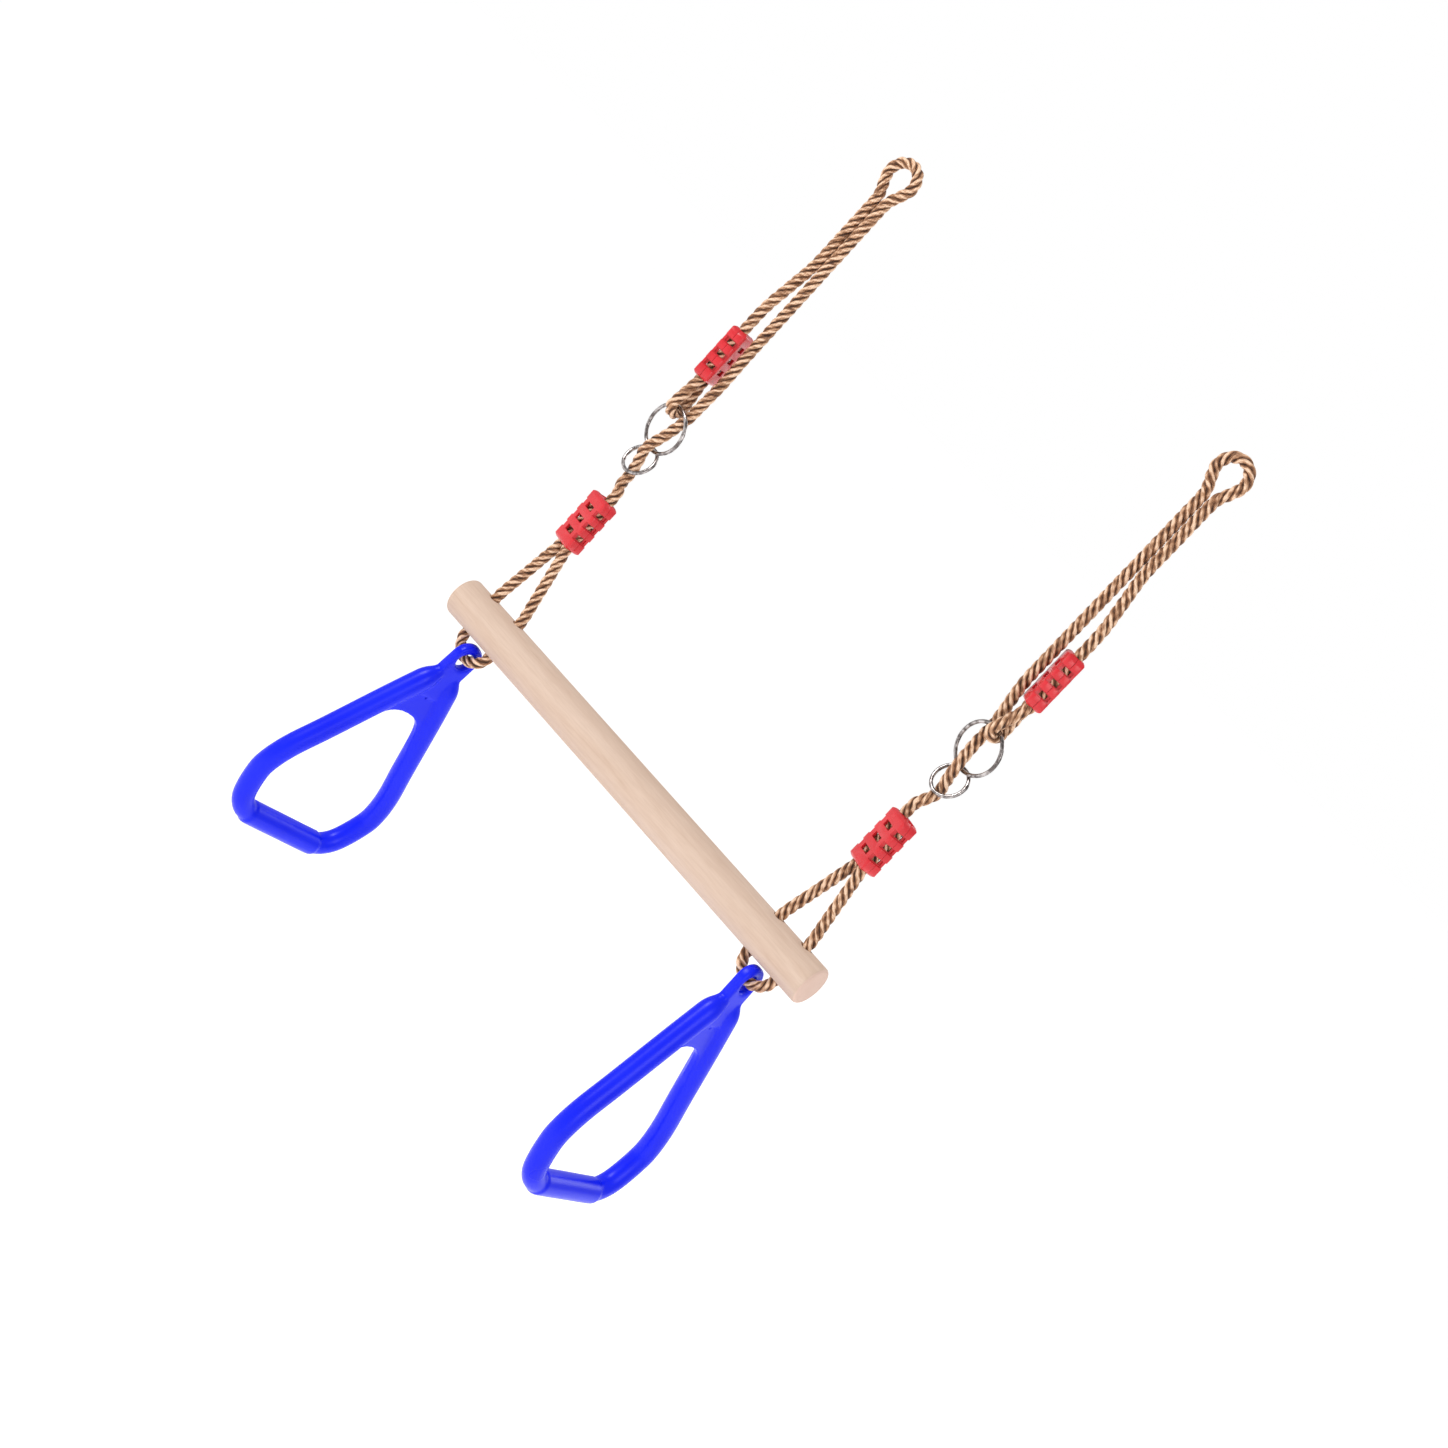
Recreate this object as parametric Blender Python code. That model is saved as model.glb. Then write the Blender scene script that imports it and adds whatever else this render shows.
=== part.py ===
"""Children's trapeze: a wooden bar hung from two ropes, with a triangular plastic ring under each end.

Run with: blender --background --python part.py
Metres, +Z up. The origin lies on the hanging line, midway between the two rope loops; the bar runs along X.
Heights are measured up from the bar's axis. On each side, "inner" means towards the middle of the bar.
"""
import math

import bmesh
import bpy
from mathutils import Matrix, Vector

# Overall sizes
HANG_HEIGHT = 0.489           # hanging line down to the bar's axis
ROPE_SPAN = 0.368             # between the two ropes
LOOP_DROP = 0.041             # hanging line down to where the legs of a hanging loop meet
GAP = 0.0003                  # between pieces that touch

# Wooden bar
BAR_LENGTH = 0.450
BAR_DIAMETER = 0.035
BAR_EDGE = 0.003
HOLE_SPACING = 0.032          # between the two rope holes of one side
HOLE_PLAY = 0.0004            # radial room of the rope in a hole or a clamp

# Rope
ROPE_DIAMETER = 0.0095
LOOP_RADIUS = 0.0135          # bend of the hanging loop
STRAIGHT_LEG_HEIGHTS = (0.400, 0.350, 0.300)   # points of the long leg above the rings
RINGS_TOP_HEIGHT = 0.270      # where that leg starts to turn towards the rings
CLAMPED_LEG_TOP = 0.410       # the clamped leg is straight above this height
CLAMPED_LEG_TURN = 0.385      # and turns towards its clamp below this one
TILT_HEIGHT = 0.023           # height of the bend just above the bar
FOLD_HEIGHT = 0.1555          # height of the bend just below the steel rings
FOLD_OUT = 0.0015             # how far outside the rope's line that bend lies

# Steel rings
WIRE_DIAMETER = 0.0032
BIG_RING_RADIUS = 0.0205      # to the middle of the wire
BIG_RING_HEIGHT = 0.2125
SMALL_RING_RADIUS = 0.014
SMALL_RING_HEIGHT = 0.1805
RING_OUT = 0.0055             # ring centres, outside the rope's line
RING_YAW = math.radians(-12)
WIRE_CLEARANCE = 0.0005       # between the two rings where they cross
EYE_OUT = 0.0035              # eye of the rope, outside the big ring's centre
THREAD_IN = 0.0075            # rope through the big ring, inside its centre

# Rope clamps, all alike
CLAMP_LENGTH = 0.050
CLAMP_WALL = 0.0018           # beside the rope
CLAMP_FACE = 0.0024           # in front of the rope
CLAMP_CORNER = 0.0028
RIB_REACH = 0.0018            # of the side ribs past the body
WINDOW_PITCH = 0.0120
WINDOW_WIDTH = 0.0112
WINDOW_HEIGHT = 0.0050
TAIL_INSET = 0.005            # rope end, inside the clamp's top
LOWER_CLAMP_HEIGHT = 0.114
LOWER_CLAMP_OUT = 0.0033
LOWER_CLAMP_TRAVEL = 0.008
UPPER_CLAMP_HEIGHT = 0.286
UPPER_CLAMP_OUT = 0.0112
UPPER_CLAMP_TRAVEL = 0.020

# Plastic rings
TUBE_DIAMETER = 0.0188
GRIP_DIAMETER = 0.0215
EYE_HOLE_RADIUS = 0.0081
EYE_HOLE_DROP = 0.0018        # hole centre below the rope it hangs on
EYE_OUTER_RADIUS = 0.0132
EYE_TOP_WALL = 0.0070
EYE_THICKNESS = 0.009
EYE_EDGE = 0.0022
WEB_THICKNESS = 0.007
RING_HEIGHT = 0.212           # rope to the grip's middle
RING_HALF_WIDTH = 0.068       # middle of the limb at its widest

# Turned ways of each side, left then right, in degrees
SIDES = {
    "left": {"sign": -1, "lower_clamp_yaw": -24, "upper_clamp_yaw": 13.6, "ring_yaw": 13, "ring_lean": 6},
    "right": {"sign": 1, "lower_clamp_yaw": -34, "upper_clamp_yaw": 31.1, "ring_yaw": 4, "ring_lean": 2.2},
}

# Worked out from the sizes above
ROPE_RADIUS = ROPE_DIAMETER / 2
WIRE_RADIUS = WIRE_DIAMETER / 2
BAR_Z = -HANG_HEIGHT
NECK_Z = -LOOP_DROP
LEG_OFFSET = ROPE_RADIUS + GAP / 2
END_GAP = ROPE_RADIUS + GAP
CHANNEL_RADIUS = ROPE_RADIUS + HOLE_PLAY
CHANNEL_OFFSET = CHANNEL_RADIUS + GAP / 2
CLAMP_WIDTH = 2 * (CHANNEL_OFFSET + CHANNEL_RADIUS + CLAMP_WALL)
CLAMP_THICKNESS = 2 * (CHANNEL_RADIUS + CLAMP_FACE)
WEAVE = (ROPE_RADIUS + WIRE_RADIUS + GAP) / 2
LOOP_BOTTOM = BAR_DIAMETER / 2 + HOLE_SPACING / 2     # rope under the bar, below its axis

PARTS = None
CUTTERS = None


def height(value):
    return BAR_Z + value


# Scene and object helpers

def clear_scene():
    for item in list(bpy.data.objects):
        bpy.data.objects.remove(item, do_unlink=True)


def new_collection(name):
    made = bpy.data.collections.new(name)
    bpy.context.scene.collection.children.link(made)
    return made


def make_material(name, color, roughness, metallic=0.0):
    made = bpy.data.materials.new(name)
    made.use_nodes = True
    shader = made.node_tree.nodes["Principled BSDF"]
    shader.inputs["Base Color"].default_value = (*color, 1.0)
    shader.inputs["Roughness"].default_value = roughness
    shader.inputs["Metallic"].default_value = metallic
    return made


def add_object(name, data, material=None, collection=None):
    made = bpy.data.objects.new(name, data)
    (collection or PARTS).objects.link(made)
    if material:
        data.materials.append(material)
    return made


def as_cutter(item):
    for holder in list(item.users_collection):
        holder.objects.unlink(item)
    CUTTERS.objects.link(item)
    item.hide_render = True
    item.display_type = "WIRE"
    return item


def boolean(target, other, operation):
    step = target.modifiers.new(operation.lower(), "BOOLEAN")
    step.operation = operation
    step.solver = "EXACT"
    step.object = as_cutter(other)


def shade(item, degrees=35):
    item.data.shade_smooth()
    item.data.set_sharp_from_angle(angle=math.radians(degrees))


def mesh_from_curve(curve_object, name, material=None, collection=None):
    """A welded mesh of a curve object, which is removed."""
    bpy.context.view_layer.update()
    graph = bpy.context.evaluated_depsgraph_get()
    mesh = bpy.data.meshes.new_from_object(curve_object.evaluated_get(graph))
    place = curve_object.matrix_world.copy()
    bpy.data.objects.remove(curve_object, do_unlink=True)
    work = bmesh.new()
    work.from_mesh(mesh)
    bmesh.ops.remove_doubles(work, verts=work.verts, dist=0.00001)
    bmesh.ops.recalc_face_normals(work, faces=work.faces)
    work.to_mesh(mesh)
    work.free()
    mesh.materials.clear()
    made = add_object(name, mesh, material, collection)
    made.matrix_world = place
    return made


def boxes(name, blocks):
    """One cutter of separate boxes, each given by its centre and its size."""
    work = bmesh.new()
    for centre, size in blocks:
        matrix = Matrix.Translation(centre) @ Matrix.Diagonal((*size, 1.0))
        bmesh.ops.create_cube(work, size=1.0, matrix=matrix)
    mesh = bpy.data.meshes.new(name)
    work.to_mesh(mesh)
    work.free()
    return add_object(name, mesh)


# Curves

def smooth_path(points, pieces=3):
    """Points on a Catmull-Rom curve through the given ones."""
    points = [Vector(point) for point in points]
    ends = [points[0] * 2 - points[1]] + points + [points[-1] * 2 - points[-2]]
    path = []
    for index in range(1, len(ends) - 2):
        before, start, stop, after = ends[index - 1:index + 3]
        for step in range(pieces):
            t = step / pieces
            path.append(0.5 * (2 * start + (stop - before) * t
                               + (2 * before - 5 * start + 4 * stop - after) * t ** 2
                               + (3 * start - before - 3 * stop + after) * t ** 3))
    path.append(points[-1])
    return path


def eased(start, end, share):
    """Point on the way from start to end, which leaves and arrives along Z."""
    across = share * share * (3 - 2 * share)
    place = start.lerp(end, across)
    place.z = start.z + (end.z - start.z) * share
    return place


def ball_points(centre, direction, radius):
    """Points and radius factors of a round end, centred on a joint."""
    direction = Vector(direction).normalized()
    return [(Vector(centre) + direction * radius * math.sin(angle), math.cos(angle))
            for angle in map(math.radians, (30, 55, 76))]


def tube_curve(name, path, radius, sides=8, ball_start=False, ball_end=False):
    """A tube along a path; a ball end has its centre on the path's own end."""
    points = [(point, 1.0) for point in path]
    if ball_start:
        points = ball_points(path[0], path[0] - path[1], radius)[::-1] + points
    if ball_end:
        points = points + ball_points(path[-1], path[-1] - path[-2], radius)
    data = bpy.data.curves.new(name, "CURVE")
    data.dimensions = "3D"
    spline = data.splines.new("POLY")
    spline.points.add(len(points) - 1)
    for target, (place, factor) in zip(spline.points, points):
        target.co = (*place, 1.0)
        target.radius = factor
    data.bevel_depth = radius
    data.bevel_resolution = (sides - 4) // 2
    data.use_fill_caps = True
    return data


def flat_plate(name, outlines, thickness, edge=0.0, edge_steps=1):
    """A plate in the local XY plane; the first outline is its edge, the others are holes."""
    data = bpy.data.curves.new(name, "CURVE")
    data.dimensions = "2D"
    data.fill_mode = "BOTH"
    data.extrude = thickness / 2 - edge
    data.bevel_depth = edge
    data.bevel_resolution = edge_steps
    data.offset = -edge
    for outline in outlines:
        spline = data.splines.new("POLY")
        spline.points.add(len(outline) - 1)
        for target, place in zip(spline.points, outline):
            target.co = (place[0], place[1], 0.0, 1.0)
        spline.use_cyclic_u = True
    return data


def arc(centre, radius, start, stop, steps):
    """Points of a circle's arc, with its angles in degrees."""
    angles = [math.radians(start + (stop - start) * step / steps) for step in range(steps + 1)]
    return [(centre[0] + radius * math.cos(angle), centre[1] + radius * math.sin(angle)) for angle in angles]


# Places shared by several pieces

class Side:
    """Places on one side of the trapeze."""

    def __init__(self, name, values):
        self.name = name
        self.sign = values["sign"]
        self.values = values
        self.line_x = self.sign * ROPE_SPAN / 2
        self.leg_x = self.line_x - self.sign * LEG_OFFSET            # straight leg, inner
        self.clamped_leg_x = self.line_x + self.sign * LEG_OFFSET    # clamped leg, outer
        # steel rings: across and behind are the directions of their planes and normals
        self.across = Vector((math.cos(RING_YAW), math.sin(RING_YAW), 0))
        self.behind = Vector((-math.sin(RING_YAW), math.cos(RING_YAW), 0))
        self.ring_x = self.line_x + self.sign * RING_OUT
        self.big_tilt = math.asin(WEAVE / BIG_RING_RADIUS)
        self.big_up = Vector((0, 0, math.cos(self.big_tilt))) - self.behind * math.sin(self.big_tilt)
        self.big_centre = Vector((self.ring_x, 0, height(BIG_RING_HEIGHT)))
        small_back = WEAVE + WIRE_DIAMETER + WIRE_CLEARANCE
        small_tilt = math.asin((small_back + WEAVE) / (2 * SMALL_RING_RADIUS))
        self.small_up = Vector((0, 0, math.cos(small_tilt))) + self.behind * math.sin(small_tilt)
        self.small_centre = (Vector((self.ring_x, 0, height(SMALL_RING_HEIGHT)))
                             + self.behind * (small_back - WEAVE) / 2)
        # lower clamp: its inner channel carries the standing rope, on the plane y = 0
        yaw = math.radians(values["lower_clamp_yaw"])
        self.lower_yaw = yaw
        channel = Vector((math.cos(yaw), math.sin(yaw), 0)) * CHANNEL_OFFSET
        self.lower_inner = Vector((self.line_x + self.sign * LOWER_CLAMP_OUT - self.sign * channel.x, 0, 0))
        self.lower_centre = self.lower_inner + channel * self.sign
        self.lower_outer = self.lower_centre + channel * self.sign
        # upper clamp: its front channel carries the clamped leg
        yaw = math.radians(values["upper_clamp_yaw"])
        self.upper_yaw = yaw - math.pi / 2
        channel = Vector((math.sin(yaw), -math.cos(yaw), 0)) * CHANNEL_OFFSET
        self.upper_centre = Vector((self.line_x + self.sign * UPPER_CLAMP_OUT, 0, 0))
        self.upper_front = self.upper_centre + channel
        self.upper_back = self.upper_centre - channel
        self.inner_hole_x = self.line_x - self.sign * HOLE_SPACING / 2
        self.outer_hole_x = self.line_x + self.sign * HOLE_SPACING / 2
        self.fold = Vector((self.line_x + self.sign * FOLD_OUT, 0, height(FOLD_HEIGHT)))
        self.ring_pivot = Vector((self.line_x, 0, BAR_Z - LOOP_BOTTOM))
        # plastic ring: it leans outwards, and its width is turned a little away from Y
        lean = self.sign * math.radians(values["ring_lean"])
        yaw = math.radians(values["ring_yaw"])
        upwards = Vector((-math.sin(lean), 0, math.cos(lean)))
        width = Vector((math.sin(yaw), math.cos(yaw), 0))
        width = (width - upwards * width.dot(upwards)).normalized()
        self.ring_turn = Matrix((width, upwards.cross(width), upwards)).transposed().to_4x4()

    def big_wire(self, lateral):
        """Point on the big ring's upper wire, at a distance across from its centre."""
        rise = math.sqrt(BIG_RING_RADIUS ** 2 - lateral ** 2)
        return self.big_centre + self.across * lateral + self.big_up * rise

    def at(self, place, level):
        return Vector((place.x, place.y, height(level)))


# Ropes

def hanging_loop(side, material):
    low = NECK_Z + END_GAP
    middle = ROPE_RADIUS - LOOP_RADIUS
    bow = 0.7 * LOOP_RADIUS
    half = [(LEG_OFFSET, low), (LEG_OFFSET * 1.2, low + 0.3 * (middle - low)),
            (0.8 * LOOP_RADIUS, low + 0.68 * (middle - low)),
            (LOOP_RADIUS, middle), (bow, middle + bow)]
    outline = half + [(0, ROPE_RADIUS)] + [(-x, z) for x, z in reversed(half)]
    path = smooth_path([(side.line_x + x, 0, z) for x, z in outline], 2)
    return add_object(f"{side.name}_hanging_loop", tube_curve("loop", path, ROPE_RADIUS), material)


def standing_rope(side, material):
    """The straight leg, woven through both steel rings, down to the fold."""
    inward = -side.sign
    behind_big = side.big_wire(inward * THREAD_IN) + side.behind * 2 * WEAVE
    thread_x = side.ring_x + inward * 0.001
    front = Vector((thread_x, 0, height(BIG_RING_HEIGHT - BIG_RING_RADIUS))) - side.behind * WEAVE
    back = Vector((thread_x, 0, height(SMALL_RING_HEIGHT - 0.93 * SMALL_RING_RADIUS))) + side.behind * WEAVE
    between = (behind_big + front) / 2 + side.across * inward * 0.001
    lowest = side.fold + (back - side.fold).normalized() * END_GAP
    points = [(side.leg_x, 0, NECK_Z)] + [(side.leg_x, 0, height(level)) for level in STRAIGHT_LEG_HEIGHTS]
    points += [(side.leg_x, 0.0010, height(RINGS_TOP_HEIGHT)),
              behind_big + Vector((0.3 * (side.leg_x - behind_big.x), -0.0001, 0.010)),
              behind_big, between, front, (front + back) / 2, back, lowest]
    path = smooth_path(points)
    data = tube_curve("standing", path, ROPE_RADIUS, ball_start=True)
    return add_object(f"{side.name}_standing_rope", data, material)


def eye_rope(side, material):
    """The clamped leg: through the upper clamp, round the big ring's wire and back into the clamp."""
    wire = side.big_wire(side.sign * EYE_OUT)
    reach = ROPE_RADIUS + WIRE_RADIUS + GAP + 0.0001
    turn = [wire - side.behind * reach * math.cos(angle) - Vector((0, 0, reach * math.sin(angle)))
            for angle in map(math.radians, (0, 36, 72, 108, 144, 180))]
    top = UPPER_CLAMP_HEIGHT + CLAMP_LENGTH / 2
    bottom = UPPER_CLAMP_HEIGHT - CLAMP_LENGTH / 2
    clear = top + UPPER_CLAMP_TRAVEL + 0.001
    down = [(side.clamped_leg_x, 0, NECK_Z), (side.clamped_leg_x, 0, height(CLAMPED_LEG_TOP)),
            (side.clamped_leg_x + side.sign * 0.0003, -0.0003, height(CLAMPED_LEG_TURN)),
            (side.clamped_leg_x * 0.45 + side.upper_front.x * 0.55, 0.55 * side.upper_front.y,
             height((CLAMPED_LEG_TURN + clear) / 2)),
            side.at(side.upper_front, clear), side.at(side.upper_front, (top + bottom) / 2),
            side.at(side.upper_front, bottom + 0.006), side.at(side.upper_front, bottom)]
    up = [side.at(side.upper_back, bottom), side.at(side.upper_back, bottom + 0.006),
          side.at(side.upper_back, (top + bottom) / 2), side.at(side.upper_back, top - TAIL_INSET)]
    path = smooth_path(down + [eased(down[-1], turn[0], 0.4)] + turn + [eased(up[0], turn[-1], 0.4)] + up)
    data = tube_curve("eye", path, ROPE_RADIUS, ball_start=True)
    return add_object(f"{side.name}_eye_rope", data, material)


def long_leg(side, material):
    """From the fold through the lower clamp's inner channel to just above the bar's inner hole."""
    top = LOWER_CLAMP_HEIGHT + CLAMP_LENGTH / 2 + LOWER_CLAMP_TRAVEL
    bottom = LOWER_CLAMP_HEIGHT - CLAMP_LENGTH / 2
    end = Vector((side.inner_hole_x, 0, height(TILT_HEIGHT)))
    start = side.at(side.lower_inner, bottom)
    path = smooth_path([side.fold, side.at(side.lower_inner, top), side.at(side.lower_inner, (top + bottom) / 2),
                        side.at(side.lower_inner, bottom + 0.006), start, start.lerp(end, 0.3),
                        start.lerp(end, 0.65), end])
    data = tube_curve("long leg", path, ROPE_RADIUS, ball_start=True, ball_end=True)
    return add_object(f"{side.name}_long_leg", data, material)


def short_leg(side, material):
    """From just above the bar's outer hole up into the lower clamp's outer channel, where it ends."""
    top = LOWER_CLAMP_HEIGHT + CLAMP_LENGTH / 2 - TAIL_INSET
    bottom = LOWER_CLAMP_HEIGHT - CLAMP_LENGTH / 2
    end = Vector((side.outer_hole_x, 0, height(TILT_HEIGHT)))
    start = side.at(side.lower_outer, bottom)
    path = smooth_path([side.at(side.lower_outer, top), side.at(side.lower_outer, (top + bottom) / 2),
                        side.at(side.lower_outer, bottom + 0.006), start, start.lerp(end, 0.3),
                        start.lerp(end, 0.65), end])
    data = tube_curve("short leg", path, ROPE_RADIUS, ball_end=True)
    return add_object(f"{side.name}_short_leg", data, material)


def bar_loop(side, material):
    """Down one hole of the bar, under it in a half circle and up the other."""
    top = height(TILT_HEIGHT) - END_GAP
    radius = HOLE_SPACING / 2
    under = arc((side.line_x, BAR_Z - BAR_DIAMETER / 2), radius, 0, -180, 10)
    levels = [top, BAR_Z, BAR_Z - BAR_DIAMETER / 2 + 0.004]
    path = [Vector((side.line_x + radius, 0, level)) for level in levels]
    path += [Vector((x, 0, z)) for x, z in under]
    path += [Vector((side.line_x - radius, 0, level)) for level in reversed(levels)]
    return add_object(f"{side.name}_bar_loop", tube_curve("bar loop", path, ROPE_RADIUS), material)


# Bar, steel rings and clamps

def wooden_bar(material):
    bpy.ops.mesh.primitive_cylinder_add(vertices=40, radius=BAR_DIAMETER / 2, depth=BAR_LENGTH)
    bar = bpy.context.object
    bar.name = "trapeze_bar"
    work = bmesh.new()
    work.from_mesh(bar.data)
    rims = [edge for edge in work.edges if edge.calc_face_angle(0) > 1 and abs(edge.verts[0].co.z
            - edge.verts[1].co.z) < 1e-6]
    bmesh.ops.bevel(work, geom=rims, offset=BAR_EDGE, segments=3, profile=0.5, affect="EDGES")
    work.to_mesh(bar.data)
    work.free()
    bar.data.transform(Matrix.Rotation(math.pi / 2, 4, "Y"))
    for holder in list(bar.users_collection):
        holder.objects.unlink(bar)
    PARTS.objects.link(bar)
    bar.data.materials.append(material)
    bar.location = (0, 0, BAR_Z)
    work = bmesh.new()
    for sign in (-1, 1):
        for half in (-1, 1):
            x = sign * ROPE_SPAN / 2 + half * HOLE_SPACING / 2
            bmesh.ops.create_cone(work, cap_ends=True, segments=16, radius1=ROPE_RADIUS + HOLE_PLAY,
                                  radius2=ROPE_RADIUS + HOLE_PLAY, depth=BAR_DIAMETER * 1.5,
                                  matrix=Matrix.Translation((x, 0, BAR_Z)))
    mesh = bpy.data.meshes.new("rope holes")
    work.to_mesh(mesh)
    work.free()
    boolean(bar, add_object("rope_holes", mesh), "DIFFERENCE")
    shade(bar)
    return bar


def steel_ring(name, centre, across, up, radius, segments, material):
    bpy.ops.mesh.primitive_torus_add(major_radius=radius, minor_radius=WIRE_RADIUS, major_segments=segments,
                                     minor_segments=8)
    ring = bpy.context.object
    ring.name = name
    for holder in list(ring.users_collection):
        holder.objects.unlink(ring)
    PARTS.objects.link(ring)
    ring.data.materials.append(material)
    normal = across.cross(up).normalized()
    turn = Matrix((across, up, normal)).transposed().to_4x4()
    ring.matrix_world = Matrix.Translation(centre) @ turn
    ring.data.shade_smooth()
    return ring


def clamp_half_mesh():
    """Front half of a clamp: X across the two ropes, Y away from the joint face, Z along the ropes."""
    half = CLAMP_WIDTH / 2 + RIB_REACH
    face = -CLAMP_THICKNESS / 2
    joint = -GAP / 2
    outline = [(-half, joint)]
    outline += arc((-half + CLAMP_CORNER, face + CLAMP_CORNER), CLAMP_CORNER, 180, 270, 3)
    outline += arc((half - CLAMP_CORNER, face + CLAMP_CORNER), CLAMP_CORNER, 270, 360, 3)
    outline += [(half, joint)]
    start = math.degrees(math.asin(-joint / CHANNEL_RADIUS))
    for centre in (CHANNEL_OFFSET, -CHANNEL_OFFSET):
        outline += arc((centre, 0), CHANNEL_RADIUS, -start, start - 180, 8)
    data = flat_plate("clamp outline", [outline], CLAMP_LENGTH)
    body = mesh_from_curve(add_object("clamp outline", data), "clamp body")
    ribs_end = WINDOW_PITCH + WINDOW_HEIGHT / 2
    trim = (CLAMP_LENGTH / 2 - ribs_end) + 0.002
    trims = []
    openings = []
    for side in (-1, 1):
        edge = side * (CLAMP_WIDTH / 2 + RIB_REACH / 2 + 0.001)
        for end in (-1, 1):
            trims.append(((edge, 0, end * (ribs_end + trim / 2)),
                          (RIB_REACH + 0.002, CLAMP_THICKNESS + 0.01, trim)))
        for row in (-1, 0, 1):
            deep = RIB_REACH + CLAMP_WALL + 0.0012
            centre = side * (half + 0.002 - (deep + 0.002) / 2)
            openings.append(((centre, joint, row * WINDOW_PITCH),
                             (deep + 0.002, CLAMP_THICKNESS - 2 * CLAMP_FACE, WINDOW_HEIGHT)))
    for row in (-1, 0, 1):
        openings.append(((0, face, row * WINDOW_PITCH),
                         (WINDOW_WIDTH, 2 * CLAMP_FACE + 0.004, WINDOW_HEIGHT)))
    boolean(body, boxes("clamp_trims", trims), "DIFFERENCE")
    boolean(body, boxes("clamp_openings", openings), "DIFFERENCE")
    bpy.context.view_layer.update()
    graph = bpy.context.evaluated_depsgraph_get()
    mesh = bpy.data.meshes.new_from_object(body.evaluated_get(graph))
    bpy.data.objects.remove(body, do_unlink=True)
    mesh.name = "clamp half"
    return mesh


def clamp(name, mesh, place, level, yaw, material):
    for half, turn in (("front_half", 0.0), ("back_half", math.pi)):
        item = add_object(f"{name}_{half}", mesh.copy(), material)
        item.location = (place.x, place.y, height(level))
        item.rotation_euler = (0, 0, yaw + turn)
        shade(item)


# Plastic rings

def plastic_ring(side, material):
    """A moulded ring in its own XZ plane, with the rope it hangs on at its origin."""
    name = f"{side.name}_plastic_ring"
    radius = TUBE_DIAMETER / 2
    wide = RING_HALF_WIDTH
    low = RING_HEIGHT
    limb = [(0.147 * wide, 0.105 * low), (0.403 * wide, 0.287 * low), (0.728 * wide, 0.531 * low),
            (0.926 * wide, 0.675 * low), (wide, 0.778 * low), (0.971 * wide, 0.840 * low),
            (0.875 * wide, 0.919 * low), (0.765 * wide, 0.964 * low), (0.61 * wide, 0.997 * low)]
    grip_half = 0.61 * wide
    pieces = []
    for sign in (1, -1):
        path = smooth_path([(sign * x, 0, -z) for x, z in limb], 2)
        data = tube_curve("limb", path, radius, 12, ball_start=True, ball_end=True)
        pieces.append(mesh_from_curve(add_object("limb", data), "limb"))
    grip = [Vector((x, 0, -low)) for x in (-grip_half, 0, grip_half)]
    data = tube_curve("grip", grip, GRIP_DIAMETER / 2, 12, ball_start=True, ball_end=True)
    pieces.append(mesh_from_curve(add_object("grip", data), "grip"))
    hole_centre = (0, -EYE_HOLE_DROP)
    eye_middle = -EYE_HOLE_DROP + EYE_HOLE_RADIUS + EYE_TOP_WALL - EYE_OUTER_RADIUS
    top = arc((0, eye_middle), EYE_OUTER_RADIUS, 0, 180, 10)
    neck = [(-0.92 * EYE_OUTER_RADIUS, -0.024), (-0.95 * EYE_OUTER_RADIUS, -0.042),
            (0.95 * EYE_OUTER_RADIUS, -0.042), (0.92 * EYE_OUTER_RADIUS, -0.024)]
    hole = arc(hole_centre, EYE_HOLE_RADIUS, 0, -337.5, 15)
    eye = add_object("eye", flat_plate("eye", [top + neck, hole], EYE_THICKNESS, EYE_EDGE))
    arch = [(0.46 * wide, 0.385 * low), (0.37 * wide, 0.380 * low), (0.31 * wide, 0.345 * low),
            (0.24 * wide, 0.320 * low), (0.13 * wide, 0.305 * low)]
    web = [(x, -z) for x, z in arch] + [(0, -0.300 * low)] + [(-x, -z) for x, z in reversed(arch)]
    web += [(-0.14 * wide, -0.14 * low), (0.14 * wide, -0.14 * low)]
    web = add_object("web", flat_plate("web", [web], WEB_THICKNESS))
    upright = Matrix.Rotation(math.pi / 2, 4, "X")
    for flat in (eye, web):
        flat.matrix_world = upright
        pieces.append(mesh_from_curve(flat, flat.name))
    ring = pieces.pop(0)
    ring.name = name
    ring.data.materials.append(material)
    for piece in pieces:
        boolean(ring, piece, "UNION")
    bpy.context.view_layer.update()
    graph = bpy.context.evaluated_depsgraph_get()
    mesh = bpy.data.meshes.new_from_object(ring.evaluated_get(graph))
    bpy.data.objects.remove(ring, do_unlink=True)
    made = add_object(name, mesh)
    made.matrix_world = Matrix.Translation(side.ring_pivot) @ side.ring_turn
    shade(made)
    return made


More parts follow.
